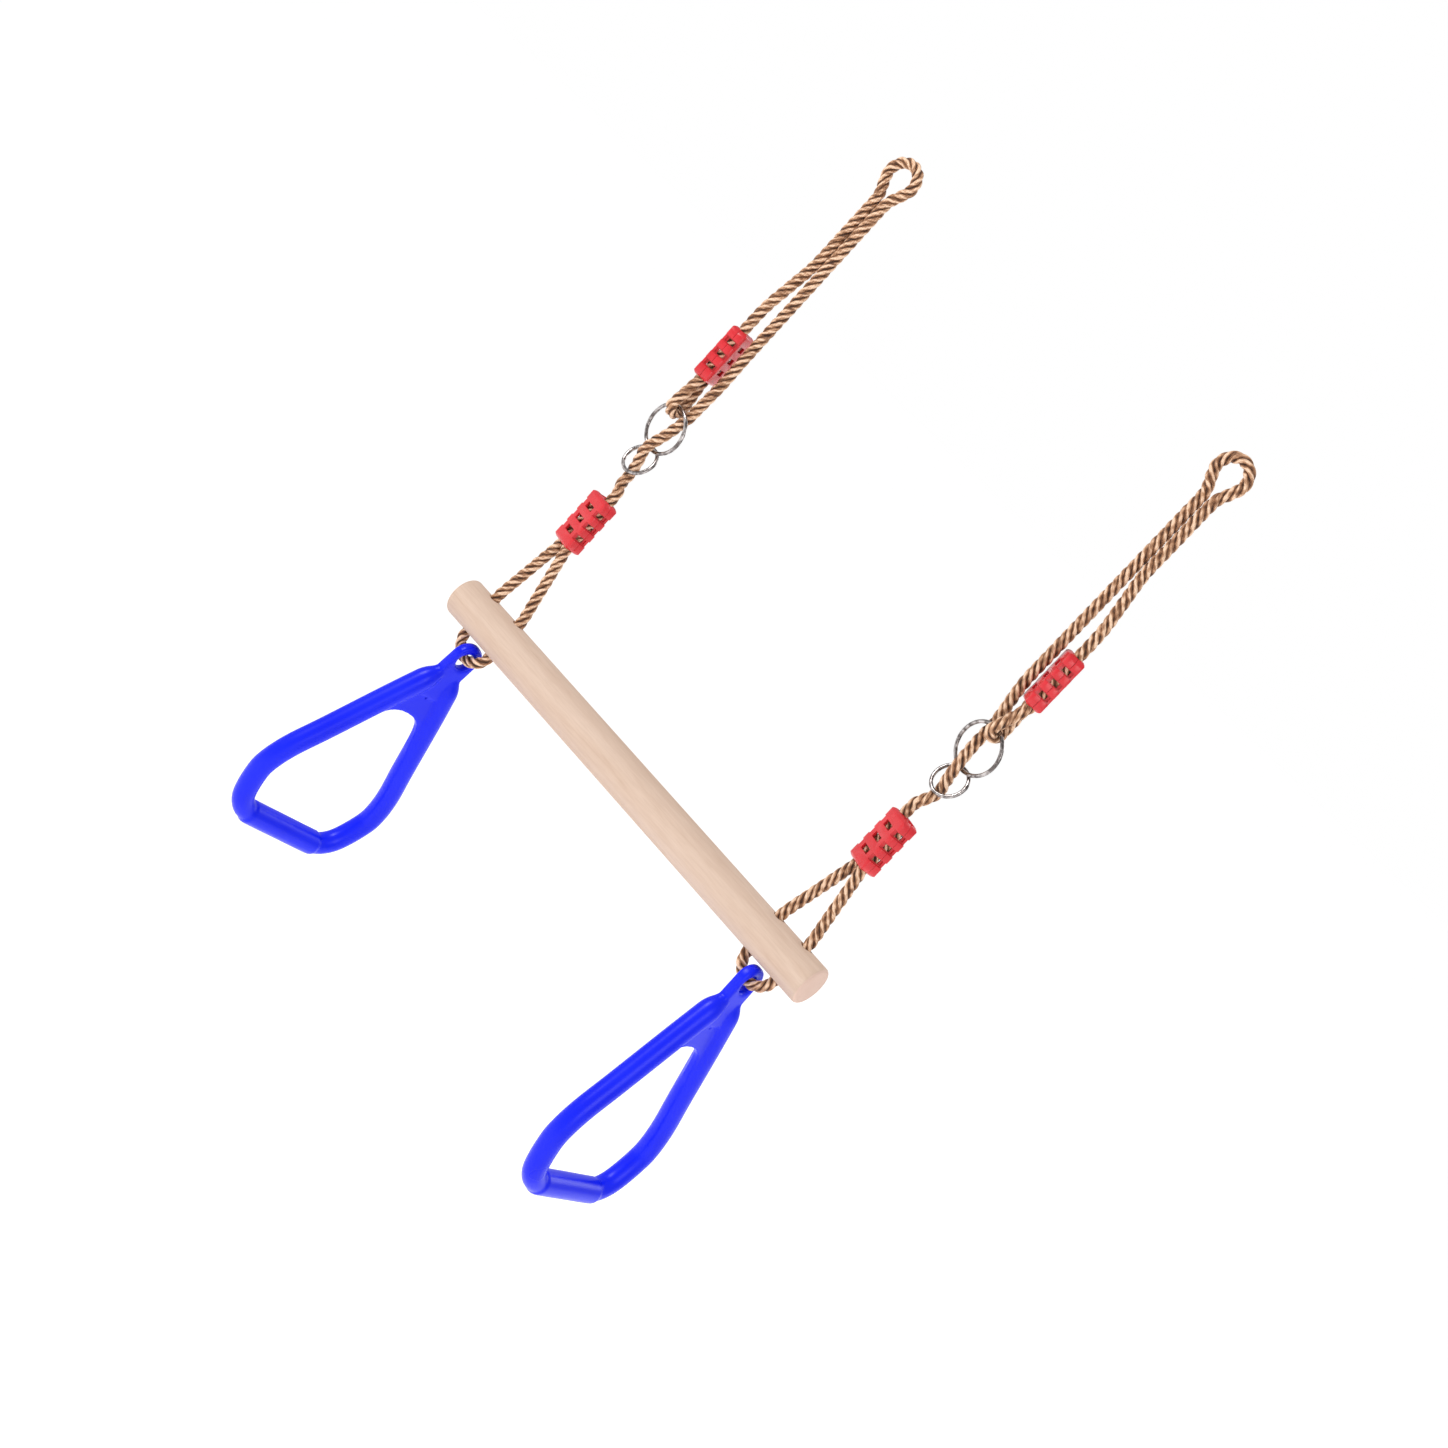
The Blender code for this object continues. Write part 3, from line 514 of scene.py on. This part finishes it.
def clampHalf():
    # half a clamp: its outline, with a half round channel for each rope, is the same all along it; windows are cut
    # through the wide face and notches through the narrow side
    c = clampShape
    channelRadius = rope["radius"] + c["ropePlay"]
    channel = channelRadius + trapeze["gap"] / 2
    width, thick = 2 * (channel + channelRadius + c["wall"]), 2 * (channelRadius + c["face"])
    half, face, joint = width / 2 + c["ribReach"], -thick / 2, -trapeze["gap"] / 2
    start = math.degrees(math.asin(-joint / channelRadius))
    outline = [np.array([(-half, joint)]),
               arcPoints((-half + c["corner"], face + c["corner"]), c["corner"], 180, 270, 6),
               arcPoints((half - c["corner"], face + c["corner"]), c["corner"], 270, 360, 6),
               np.array([(half, joint)])]
    outline += [arcPoints((x, 0), channelRadius, -start, start - 180, 16) for x in (channel, -channel)]
    outline = np.vstack(outline)
    z = np.array([-0.5, 0.5]) * c["length"]
    rings = np.concatenate([np.broadcast_to(outline, (2,) + outline.shape),
                            np.broadcast_to(z[:, None, None], (2, len(outline), 1))], axis=-1)
    body = faceOutwards(tubeMesh("clamp", rings))
    deep = c["ribReach"] + c["wall"] + 0.0012
    openings, notches = [], []
    for row in (-1, 0, 1):
        openings.append(blockMesh((0, face, row * c["windowPitch"]),
                                  (c["windowWidth"], 2 * c["face"] + 0.004, c["windowHeight"])))
        for side in (-1, 1):
            openings.append(blockMesh((side * (half + 0.001 - deep / 2), joint, row * c["windowPitch"]),
                                      (deep + 0.002, thick - 2 * c["face"], c["windowHeight"] * 0.8)))
            notches.append(blockMesh((side * (half + 0.001 - c["notchDepth"] / 2), face / 2,
                                      row * c["windowPitch"]), (c["notchDepth"] + 0.002, thick, c["notchHeight"])))
    # the shoulders are round, seen from the front and from the side
    tall, deepest = c["length"] / 2, 2 * half
    for reach, r, order in ((half, c["endRound"], [0, 2, 1]), (-face, c["endRound"] * 0.6, [2, 0, 1])):
        shoulders = np.vstack([arcPoints((x * (reach - r), z * (tall - r)), r, start, start + 90, 8)
                               for x, z, start in ((1, 1, 0), (-1, 1, 90), (-1, -1, 180), (1, -1, 270))])
        rings = np.concatenate([np.broadcast_to(shoulders, (2,) + shoulders.shape),
                                np.broadcast_to(np.array([-deepest, deepest])[:, None, None],
                                                (2, len(shoulders), 1))], axis=-1)[:, :, order]
        cut(body, faceOutwards(tubeMesh("shoulders", rings)), "INTERSECT")
    cut(body, faceOutwards(joined(notches, "notches")))
    cut(body, faceOutwards(joined(openings, "openings")))
    bevel = body.modifiers.new("edges", "BEVEL")
    bevel.width = c["edge"]
    bevel.segments = c["edgeSteps"]
    bevel.limit_method = "ANGLE"
    bevel.angle_limit = math.radians(40)
    settle(body)
    return body


def makeClamps():
    # each clamp is two copies of one half, the second turned half round about Z
    pattern = clampHalf()
    made = []
    for name, p in sides.items():
        for where, centre, across in (("lower", p["lowerCentre"], p["lowerAcross"]),
                                      ("upper", p["upperCentre"], p["upperAcross"])):
            outward = np.cross((0, 0, 1), across)
            for half, flip in (("front", 1), ("back", -1)):
                piece = linked(f"{name}_{where}_clamp_{half}", pattern.data.copy())
                turn = np.stack([across * flip, outward * flip, (0, 0, 1)], axis=1)
                placed(piece, turn, atHeight(centre, clampShape[f"{where}Height"]))
                smooth(piece, 35)
                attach(piece, f"{name}_{where}_clamp")
                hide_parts(f"{name}_{where}_clamp_{half}_half")
                made.append(piece)
    discard(pattern)
    return made


clampPieces = makeClamps()
print("clamps ready")

# Plastic rings

handRing = dict(height=0.212, halfWidth=0.068, limbRadius=0.0094, gripRadius=0.01075, gripHalf=0.62,
                eyeHole=0.0078, holeDrop=0.0018, eyeOuter=0.0136, eyeTopWall=0.0081, eyeLength=0.046, eyeCorner=0.25,
                eyeThickness=0.0095, eyeEdge=0.0028, webThickness=0.007, webTop=0.14, markDrop=0.215,
                markRadius=0.0011, dimpleDepth=0.0013, gripStep=0.0018, taper=0.014, taperShare=0.66,
                spacing=0.0012, around=48, voxel=0.0010, softSteps=9)


def roundTube(name, path, radii, around, first):
    # a circle carried along a path, its radius changing on the way, with a half sphere on each end
    side, other = pathFrames(path, first)
    tangent = np.gradient(path, axis=0)
    tangent /= np.linalg.norm(tangent, axis=1)[:, None]
    steps = 7
    q = np.radians(np.linspace(80, 12, steps))
    ends = []
    for k, direction in ((0, -1), (-1, 1)):
        centres = path[k] + direction * tangent[k] * (radii[k] * np.sin(q))[:, None]
        ends.append((centres, radii[k] * np.cos(q), np.repeat(side[k][None], steps, 0),
                     np.repeat(other[k][None], steps, 0)))
    centres = np.vstack([ends[0][0], path, ends[1][0][::-1]])
    radius = np.concatenate([ends[0][1], radii, ends[1][1][::-1]])
    side, other = np.vstack([ends[0][2], side, ends[1][2]]), np.vstack([ends[0][3], other, ends[1][3]])
    a = np.linspace(0, 2 * math.pi, around, endpoint=False)
    rings = centres[:, None, :] + radius[:, None, None] * (np.cos(a)[None, :, None] * side[:, None, :]
                                                           + np.sin(a)[None, :, None] * other[:, None, :])
    return faceOutwards(tubeMesh(name, rings))


def eyePlate():
    # a flat link with rounded edges: outline and hole are matched point for point, and the section between them is a
    # stadium, whose roundness is the edge radius
    h = handRing
    n = 72
    a = np.linspace(0, 2 * math.pi, n, endpoint=False)
    top = -h["holeDrop"] + h["eyeHole"] + h["eyeTopWall"] - h["eyeOuter"]
    outer = np.stack([h["eyeOuter"] * np.cos(a), top + h["eyeOuter"] * np.sin(a)], axis=1)
    # above its middle the outline is a circle, and below it long and nearly square
    square = np.sign(np.cos(a)) * h["eyeOuter"] * np.abs(np.cos(a)) ** h["eyeCorner"]
    outer[:, 1] = np.where(np.sin(a) < 0, top + np.sin(a) * h["eyeLength"], outer[:, 1])
    outer[:, 0] = np.where(np.sin(a) < 0, square, outer[:, 0])
    inner = np.stack([h["eyeHole"] * np.cos(a), -h["holeDrop"] + h["eyeHole"] * np.sin(a)], axis=1)
    e, t = h["eyeEdge"], h["eyeThickness"] / 2
    q = np.radians(np.linspace(0, 90, 6))
    inward = inner - outer
    inward /= np.linalg.norm(inward, axis=1)[:, None]
    rows = []
    for base, direction, order in ((outer, inward, 1), (inner, -inward, -1)):
        lift = [(e - e * np.cos(k), t - e + e * np.sin(k)) for k in q][::order]
        rows += [np.concatenate([base + direction * x, np.full((n, 1), y)], axis=1) for x, y in lift]
    rows += [row * np.array([1, 1, -1]) for row in rows[::-1]]
    rings = np.array(rows)[:, :, [0, 2, 1]]
    return faceOutwards(meshFrom("eye", rings, gridFaces(len(rings), n, True)))


def webPlate():
    # a flat plate between the limbs; the arch below it is given in shares of the ring's half width and height
    h = handRing
    wide, low, top = h["halfWidth"], h["height"], h["webTop"]
    arch = np.array([(0.52, 0.480), (0.45, 0.440), (0.39, 0.400), (0.33, 0.364), (0.25, 0.334), (0.13, 0.316),
                     (0, 0.311)])
    arch = smoothPath(np.column_stack([arch * (wide, -low), np.zeros(7)]), 5)[:, :2]
    outline = np.vstack([arch, arch[-2::-1] * (-1, 1), [(-top * wide, -top * low), (top * wide, -top * low)]])
    y = np.array([-0.5, 0.5]) * h["webThickness"]
    rings = np.concatenate([np.broadcast_to(outline, (2,) + outline.shape),
                            np.broadcast_to(y[:, None, None], (2, len(outline), 1))], axis=-1)[:, :, [0, 2, 1]]
    return faceOutwards(tubeMesh("web", rings))


def makeHandRing():
    # one tube runs down a limb, along the grip and up the other limb, a little thicker along the grip; with the eye
    # and the web it is made one skin, and the joins are softened
    h = handRing
    wide, low = h["halfWidth"], h["height"]
    limb = np.array([(0.152, 0.108), (0.403, 0.287), (0.728, 0.531), (0.926, 0.675), (1, 0.778), (0.971, 0.848),
                     (0.875, 0.930), (0.765, 0.974), (0.62, 0.997), (0.40, 1), (0.13, 1)])
    line = np.vstack([limb, limb[::-1] * (-1, 1)])
    line = np.column_stack([wide * line[:, 0], np.zeros(len(line)), -low * line[:, 1]])
    path, along = evenPath(smoothPath(line, 12), h["spacing"])
    share = np.clip((h["gripHalf"] * wide - np.abs(path[:, 0])) / h["gripStep"], 0, 1) * (path[:, 2] < -0.9 * low)
    radii = h["limbRadius"] + (h["gripRadius"] - h["limbRadius"]) * share * share * (3 - 2 * share)
    # the tube's two ends narrow into the eye
    fromEnd = np.clip(np.minimum(along, along[-1] - along) / h["taper"], 0, 1)
    radii = radii * (h["taperShare"] + (1 - h["taperShare"]) * fromEnd * (2 - fromEnd))
    ring = roundTube("ring", path, radii, h["around"], (0, 1, 0))
    for piece in (eyePlate(), webPlate()):
        cut(ring, piece, "UNION")
    skin = ring.modifiers.new("skin", "REMESH")
    skin.mode = "VOXEL"
    skin.voxel_size = h["voxel"]
    soften = ring.modifiers.new("soften", "SMOOTH")
    soften.factor = 0.5
    soften.iterations = h["softSteps"]
    settle(ring)
    # the mark of the mould on each side of the web
    deep = h["webThickness"] / 2 - h["dimpleDepth"]
    for side in (-1, 1):
        mark = np.stack([arcPoints((0, -h["markDrop"] * low), h["markRadius"], 0, 360 - 30, 11)] * 2)
        y = side * np.array([deep, deep + 0.004])
        rings = np.concatenate([mark, np.broadcast_to(y[:, None, None], (2, 12, 1))], axis=-1)[:, :, [0, 2, 1]]
        cut(ring, faceOutwards(tubeMesh("mark", rings)))
    return ring


def makeHandRings():
    # two copies of one ring, each turned and hung on the rope of its side
    pattern = makeHandRing()
    made = []
    for name, p in sides.items():
        piece = linked(f"{name}_hand_ring", pattern.data.copy())
        placed(piece, p["ringTurn"], p["ringPivot"])
        smooth(piece)
        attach(piece, f"{name}_ring")
        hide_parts(f"{name}_plastic_ring")
        made.append(piece)
        print(f"{piece.name}: {len(piece.data.polygons)} faces")
    discard(pattern)
    return made


ringPieces = makeHandRings()
print("plastic rings ready")

# Materials


class Nodes:
    # a small helper to add nodes and links to one tree
    def __init__(self, tree):
        self.tree = tree

    def add(self, kind, inputs=None, **settings):
        node = self.tree.nodes.new(kind)
        for key, value in settings.items():
            setattr(node, key, value)
        for key, value in (inputs or {}).items():
            if isinstance(value, bpy.types.NodeSocket):
                self.tree.links.new(value, node.inputs[key])
            else:
                node.inputs[key].default_value = value
        return node

    def math(self, operation, a, b=0.0, clamp=False):
        return self.add("ShaderNodeMath", {0: a, 1: b}, operation=operation, use_clamp=clamp).outputs[0]

    def ramp(self, value, stops):
        node = self.add("ShaderNodeValToRGB", {"Fac": value})
        elements = node.color_ramp.elements
        while len(elements) < len(stops):
            elements.new(0.5)
        for element, (place, color) in zip(elements, stops):
            element.position = place
            element.color = (*color, 1)
        return node.outputs["Color"]

    def mix(self, factor, a, b):
        # sockets 6, 7 and out 2 of the Mix node are its colours
        a, b = (value if isinstance(value, bpy.types.NodeSocket) else (*value, 1) for value in (a, b))
        return self.add("ShaderNodeMix", {"Factor": factor, 6: a, 7: b}, data_type="RGBA").outputs[2]

    def bump(self, height, strength, distance, shader):
        # the height as a bump on the shader's normal
        made = self.add("ShaderNodeBump", {"Height": height, "Strength": strength, "Distance": distance})
        self.link(made.outputs[0], shader, "Normal")

    def drift(self, value, amount, least):
        # least plus amount times the value
        return self.math("ADD", self.math("MULTIPLY", value, amount), least)

    def link(self, source, node, key):
        self.tree.links.new(source, node.inputs[key])


def newMaterial(name, **constants):
    # a material, its tree and its shader, with constants on the shader's own sockets
    material = bpy.data.materials.new(name)
    material.use_nodes = True
    shader = material.node_tree.nodes["Principled BSDF"]
    for key, value in constants.items():
        shader.inputs[key.replace("_", " ")].default_value = value
    return material, Nodes(material.node_tree), shader


def dressed(pieces, material):
    for piece in pieces:
        piece.data.materials.clear()
        piece.data.materials.append(material)


def makeMottleGroup():
    # two layers of soft spots, broad for colour and gloss and fine for the surface's feel
    tree = bpy.data.node_groups.new("mottle", "ShaderNodeTree")
    tree.interface.new_socket("Place", in_out="INPUT", socket_type="NodeSocketVector")
    for name, value in (("Broad Scale", 20.0), ("Fine Scale", 600.0), ("Contrast", 1.0)):
        tree.interface.new_socket(name, in_out="INPUT", socket_type="NodeSocketFloat").default_value = value
    for name in ("Broad", "Fine"):
        tree.interface.new_socket(name, in_out="OUTPUT", socket_type="NodeSocketFloat")
    n = Nodes(tree)
    given, out = n.add("NodeGroupInput"), n.add("NodeGroupOutput")
    broad = n.add("ShaderNodeTexNoise", {"Vector": given.outputs["Place"], "Scale": given.outputs["Broad Scale"],
                                         "Detail": 3.0, "Roughness": 0.55, "Distortion": 0.4})
    fine = n.add("ShaderNodeTexNoise", {"Vector": given.outputs["Place"], "Scale": given.outputs["Fine Scale"],
                                        "Detail": 2.0, "Roughness": 0.6})
    spread = n.math("MULTIPLY", n.math("SUBTRACT", broad.outputs["Fac"], 0.5), given.outputs["Contrast"])
    n.link(n.math("ADD", spread, 0.5, clamp=True), out, "Broad")
    n.link(fine.outputs["Fac"], out, "Fine")
    return tree


mottleGroup = makeMottleGroup()


def mottled(n, place, broad, fine, contrast):
    # the shared group in a material's tree, with that material's scales
    group = n.add("ShaderNodeGroup", node_tree=mottleGroup)
    n.link(place, group, "Place")
    for key, value in (("Broad Scale", broad), ("Fine Scale", fine), ("Contrast", contrast)):
        group.inputs[key].default_value = value
    return group.outputs["Broad"], group.outputs["Fine"]


ropeFinish = dict(
    gloss=0.4, roughness=0.36, roughDrift=0.25, bump=0.6, bumpDepth=0.0004,
    yarnStretch=0.55, spots=2.4, yarns=9.0, contrast=2.6, spotShare=0.75,
    yarnSlant=(4.0, 5.5), yarnShare=0.06, patchSlant=(1.0, 1.9), patchShare=0.11,
    # the crown tone is a painted highlight on each strand, and the groove values paint shade into the grooves
    # between strands; the ramp's dark end mostly carries that painted shade
    paintedCrownLight=0.96, paintedGrooveShade=2.5, paintedShadePower=1.6, oddStrand=0.13,
    tones=[(0.05, (0.050, 0.018, 0.007)), (0.30, (0.165, 0.066, 0.028)), (0.53, (0.32, 0.150, 0.072)),
           (0.76, (0.58, 0.325, 0.185)), (0.95, (0.90, 0.62, 0.43))])


def makeRopeMaterial():
    # the strands follow the mesh's own map: across it counts strands, along it hundredths of a metre; the crown of
    # a strand is made pale by a painted highlight, the groove beside it dark by painted shade, and fine yarns run
    # slantwise over both
    look = ropeFinish
    m, n, shader = newMaterial("twisted rope", Specular_IOR_Level=look["gloss"])
    uv = n.add("ShaderNodeUVMap", uv_map="strands").outputs[0]
    part = n.add("ShaderNodeSeparateXYZ", {0: uv})
    across, along = part.outputs[0], part.outputs[1]
    yarns = n.add("ShaderNodeCombineXYZ", {0: across, 1: n.math("MULTIPLY", along, look["yarnStretch"])}).outputs[0]
    broad, fine = mottled(n, yarns, look["spots"], look["yarns"], look["contrast"])
    slant = n.math("ADD", *(n.math("MULTIPLY", value, k) for value, k in zip((across, along), look["yarnSlant"])))
    wave = n.math("SINE", n.math("MULTIPLY", slant, 2 * math.pi))
    counter = n.math("SUBTRACT",
                     *(n.math("MULTIPLY", value, k) for value, k in zip((across, along), look["patchSlant"])))
    patches = n.math("MULTIPLY", n.math("SINE", n.math("MULTIPLY", counter, 2 * math.pi)), look["patchShare"])
    fromCrown = n.math("ABSOLUTE", n.math("SUBTRACT", n.math("FRACT", across), 0.5))
    # painted shade: darker from each strand's crown towards the grooves beside it
    paintedShade = n.math("MULTIPLY", n.math("POWER", fromCrown, look["paintedShadePower"]), look["paintedGrooveShade"])
    odd = n.math("MULTIPLY", n.math("MODULO", n.math("FLOOR", across), 2.0), look["oddStrand"])
    spots = n.math("MULTIPLY", n.math("SUBTRACT", broad, 0.5), look["spotShare"])
    # the tone is the painted crown highlight less the painted groove shade, with random spots added
    tone = n.math("ADD", n.math("SUBTRACT", look["paintedCrownLight"], paintedShade), spots)
    tone = n.math("ADD", tone, n.math("MULTIPLY", wave, look["yarnShare"]))
    tone = n.math("SUBTRACT", n.math("ADD", tone, patches), odd, clamp=True)
    n.link(n.ramp(tone, look["tones"]), shader, "Base Color")
    n.link(n.drift(fine, look["roughDrift"], look["roughness"]), shader, "Roughness")
    height = n.math("ADD", n.math("MULTIPLY", wave, 0.5), n.math("MULTIPLY", fine, 0.8))
    n.bump(height, look["bump"], look["bumpDepth"], shader)
    return m


woodFinish = dict(
    gloss=0.25, roughness=0.47, roughDrift=0.25, bump=0.25, bumpDepth=0.0003,
    stretch=(1.0, 16.0, 16.0), bands=7.0, pores=60.0, contrast=1.3, poreShare=0.25, endShare=0.7,
    bandTones=[(0.2, (0.575, 0.410, 0.310)), (0.5, (0.635, 0.472, 0.370)), (0.8, (0.680, 0.520, 0.420))],
    poreTones=[(0.35, (0.50, 0.345, 0.255)), (0.6, (0.66, 0.50, 0.40))], endTone=(0.72, 0.505, 0.425))


def makeWoodMaterial():
    # pale turned wood: soft bands and fine pores stretched along the bar, and a plainer tone on its two ends
    look = woodFinish
    m, n, shader = newMaterial("bar wood", Specular_IOR_Level=look["gloss"])
    place = n.add("ShaderNodeTexCoord").outputs["Object"]
    long = n.add("ShaderNodeMapping", {"Vector": place, "Scale": look["stretch"]}).outputs[0]
    broad, fine = mottled(n, long, look["bands"], look["pores"], look["contrast"])
    color = n.mix(look["poreShare"], n.ramp(broad, look["bandTones"]), n.ramp(fine, look["poreTones"]))
    lengthwise = n.math("ABSOLUTE", n.add("ShaderNodeSeparateXYZ", {0: place}).outputs[0])
    endGrain = n.math("GREATER_THAN", lengthwise, trapeze["barLength"] / 2 - bar["edge"] * 0.4)
    color = n.mix(n.math("MULTIPLY", endGrain, look["endShare"]), color, look["endTone"])
    n.link(color, shader, "Base Color")
    n.link(n.drift(fine, look["roughDrift"], look["roughness"]), shader, "Roughness")
    n.bump(fine, look["bump"], look["bumpDepth"], shader)
    return m


plasticFinish = {
    "red plastic": dict(color=(0.56, 0.013, 0.020), light=(0.72, 0.030, 0.042), roughness=0.20, gloss=0.45,
                        spots=60.0),
    "blue plastic": dict(color=(0.0003, 0.007, 0.76), light=(0.002, 0.016, 0.90), roughness=0.24, gloss=0.26,
                         spots=14.0),
}
plasticGrain = dict(fine=900.0, contrast=1.5, roughDrift=0.14, bump=0.08, bumpDepth=0.0002)


def makePlasticMaterial(name):
    # moulded plastic: the colour drifts a little, and a fine grain breaks up the shine
    look = plasticFinish[name] | plasticGrain
    m, n, shader = newMaterial(name, Specular_IOR_Level=look["gloss"])
    place = n.add("ShaderNodeTexCoord").outputs["Object"]
    broad, fine = mottled(n, place, look["spots"], look["fine"], look["contrast"])
    n.link(n.mix(broad, look["color"], look["light"]), shader, "Base Color")
    n.link(n.drift(broad, look["roughDrift"], look["roughness"]), shader, "Roughness")
    n.bump(fine, look["bump"], look["bumpDepth"], shader)
    return m


steelFinish = dict(
    spots=240.0, fine=1500.0, contrast=2.0, roughness=0.12, roughDrift=0.12, bump=0.10, bumpDepth=0.0002,
    # the dark greys stand in for the darker surroundings that polished wire mirrors: painted reflection
    tones=[(0.25, (0.13, 0.112, 0.108)), (0.5, (0.31, 0.28, 0.272)), (0.8, (0.58, 0.54, 0.53))])


def makeSteelMaterial():
    # bright wire with darker, slightly rougher spots; its dark grey base colour is a painted reflection of darker
    # surroundings
    look = steelFinish
    m, n, shader = newMaterial("polished steel", Metallic=1.0)
    place = n.add("ShaderNodeTexCoord").outputs["Object"]
    broad, fine = mottled(n, place, look["spots"], look["fine"], look["contrast"])
    n.link(n.ramp(broad, look["tones"]), shader, "Base Color")
    n.link(n.drift(broad, look["roughDrift"], look["roughness"]), shader, "Roughness")
    n.bump(fine, look["bump"], look["bumpDepth"], shader)
    return m


dressed(ropePieces, makeRopeMaterial())
dressed([barPiece], makeWoodMaterial())
dressed(steelPieces, makeSteelMaterial())
dressed(clampPieces, makePlasticMaterial("red plastic"))
dressed(ringPieces, makePlasticMaterial("blue plastic"))
print("materials ready")

# Floor and light

studio = dict(floorHeight=-1.05, floorSize=80.0, floorTone=0.9, floorGlow=0.48, worldGrey=0.58, backdrop=1.0,
              aim=(0, 0, -0.42),
              lamps=dict(key=((-1.3, -1.6, 1.2), 0.9, 30.0), fill=((1.9, -1.4, 0.3), 1.2, 12.0),
                         back=((0.6, 2.2, 0.9), 1.6, 18.0)))


def makeStudio():
    # a large pale floor, an even grey world that the camera sees as the backdrop, and three soft lamps, each given
    # as its place, its size and its power
    half = studio["floorSize"] / 2
    corners = np.array([(-half, -half), (half, -half), (half, half), (-half, half)])
    floor = meshFrom("floor", np.column_stack([corners, np.full(4, studio["floorHeight"])]), [(0, 1, 2, 3)])
    tone = studio["floorTone"]
    material = newMaterial("pale floor", Roughness=0.9, Specular_IOR_Level=0.1, Base_Color=(tone, tone, tone, 1),
                           Emission_Color=(1, 1, 1, 1), Emission_Strength=studio["floorGlow"])[0]
    floor.data.materials.append(material)
    world = bpy.data.worlds.new("studio")
    bpy.context.scene.world = world
    world.use_nodes = True
    n = Nodes(world.node_tree)
    background = world.node_tree.nodes["Background"]
    path = n.add("ShaderNodeLightPath")
    grey = studio["worldGrey"]
    n.link(n.mix(path.outputs["Is Camera Ray"], (grey,) * 3, (studio["backdrop"],) * 3), background, "Color")
    for name, (place, size, power) in studio["lamps"].items():
        data = bpy.data.lights.new(name, "AREA")
        data.size = size
        data.energy = power
        outward = np.array(place) - studio["aim"]
        outward = outward / np.linalg.norm(outward)
        across = np.cross((0, 0, 1), outward)
        across /= np.linalg.norm(across)
        aimed(linked(name, data), across, np.cross(outward, across), outward, place)


makeStudio()
bpy.context.scene.view_settings.view_transform = "Standard"
print("studio ready")
